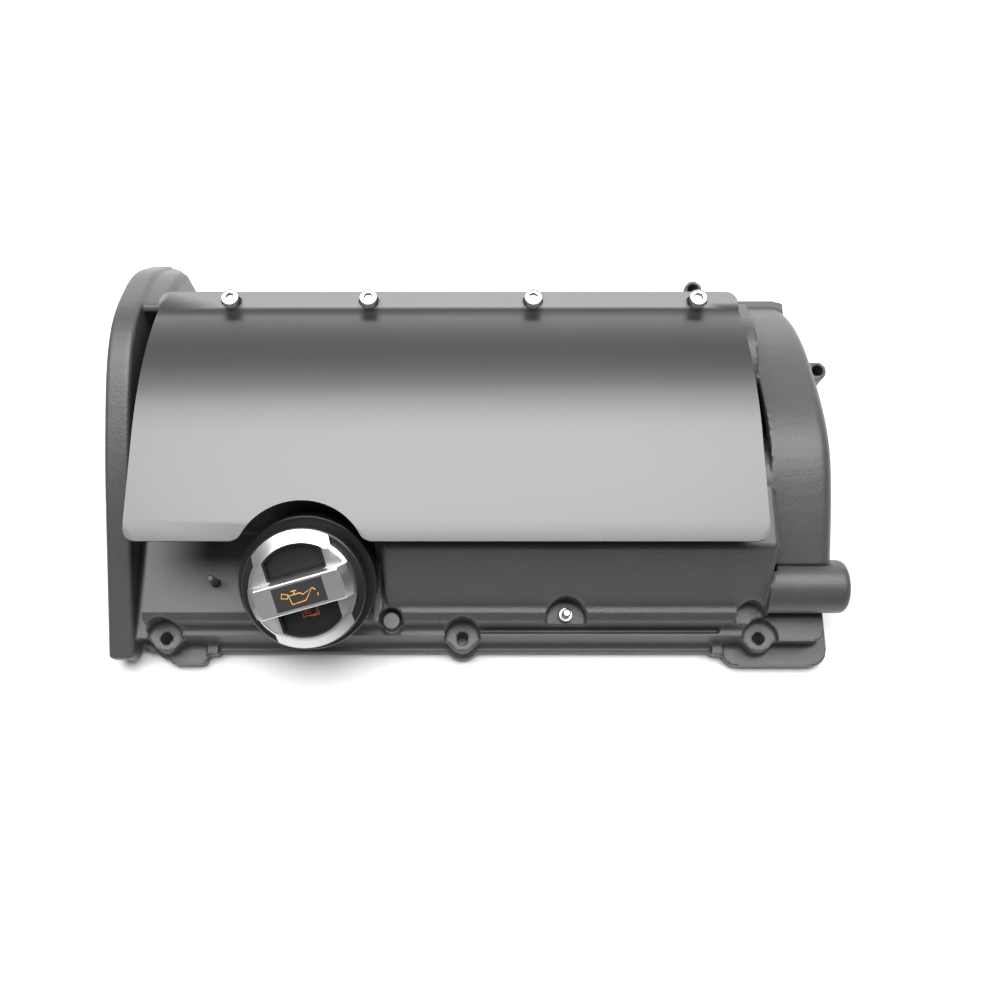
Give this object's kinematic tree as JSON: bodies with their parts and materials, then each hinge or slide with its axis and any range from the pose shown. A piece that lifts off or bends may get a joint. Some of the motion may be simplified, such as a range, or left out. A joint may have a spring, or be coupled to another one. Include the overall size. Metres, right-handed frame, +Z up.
{
  "type": "camshaft cover",
  "caption": "Cast camshaft cover for a small engine, with a bowed sheet coil shield, socket screws, breather tube and twist-off oil filler cap.",
  "frame": {"origin": "centre of the bounding box on the face that seals on the cylinder head", "axes": "+X along the engine from the timing end to the drive end, +Y to the rear (shield screw side), +Z up, away from the head"},
  "size_m": [0.442, 0.266, 0.0938],
  "materials": {
    "cast_black": "satin black powder coat with a fine orange peel over cast aluminium",
    "shield_satin": "smooth satin dark grey coat on bent sheet",
    "zinc_screw": "bright zinc plate",
    "plain_steel": "plain turned steel",
    "painted_insert": "the cover's black coat over a pressed-in steel piece",
    "pressed_sheet": "plain pressed steel sheet",
    "knitted_wire": "knitted stainless wire",
    "seal_rubber": "matt black fluorocarbon rubber",
    "cap_plastic": "fine-grained black glass-filled nylon",
    "cap_silver": "satin silver, brighter along its edges",
    "symbol_dark": "dark grey plate with an amber oil-can symbol"
  },
  "bodies": {
    "root": {"baffle_screw_1": "plain_steel", "baffle_screw_2": "plain_steel", "baffle_screw_3": "plain_steel", "baffle_screw_4": "plain_steel", "baffle_screw_5": "plain_steel", "baffle_screw_6": "plain_steel", "bracket_stud": "plain_steel", "breather_separator": "pressed_sheet", "coil_shield": "shield_satin", "cover_casting": "cast_black", "filler_neck_insert": "plain_steel", "front_oil_baffle": "pressed_sheet", "gallery_plug": "painted_insert", "locating_pin": "painted_insert", "mist_pad": "knitted_wire", "perimeter_gasket": "seal_rubber", "plug_well_seal_1": "seal_rubber", "plug_well_seal_2": "seal_rubber", "plug_well_seal_3": "seal_rubber", "plug_well_seal_4": "seal_rubber", "rear_oil_baffle": "pressed_sheet", "separator_screw_1": "plain_steel", "separator_screw_2": "plain_steel", "separator_screw_3": "plain_steel", "separator_screw_4": "plain_steel", "shield_screw_1": "zinc_screw", "shield_screw_2": "zinc_screw", "shield_screw_3": "zinc_screw", "shield_screw_4": "zinc_screw", "thread_insert_1": "plain_steel", "thread_insert_2": "plain_steel", "thread_insert_3": "plain_steel", "thread_insert_4": "plain_steel"},
    "cap_seal": {"cap_seal": "seal_rubber"},
    "cap": {"cap_body": "cap_plastic", "cap_barrel": "cap_plastic", "cap_trim": "cap_silver", "symbol_plate": "symbol_dark"}
  },
  "joints": [
    {"name": "cap_rise", "type": "slide", "parent": "root", "child": "cap_seal", "axis": [0, -0.4226, 0.9063], "range_m": [0, 0.004]},
    {"name": "cap_turn", "type": "hinge", "parent": "cap_seal", "child": "cap", "pos_m": [-0.0988, -0.0901, 0.0564], "axis": [0, -0.4226, 0.9063], "range_deg": [0, 90]}
  ],
  "couplings": [
    {"joint": "cap_rise", "follows": "cap_turn", "m_per_rad": 0.0025464}
  ]
}
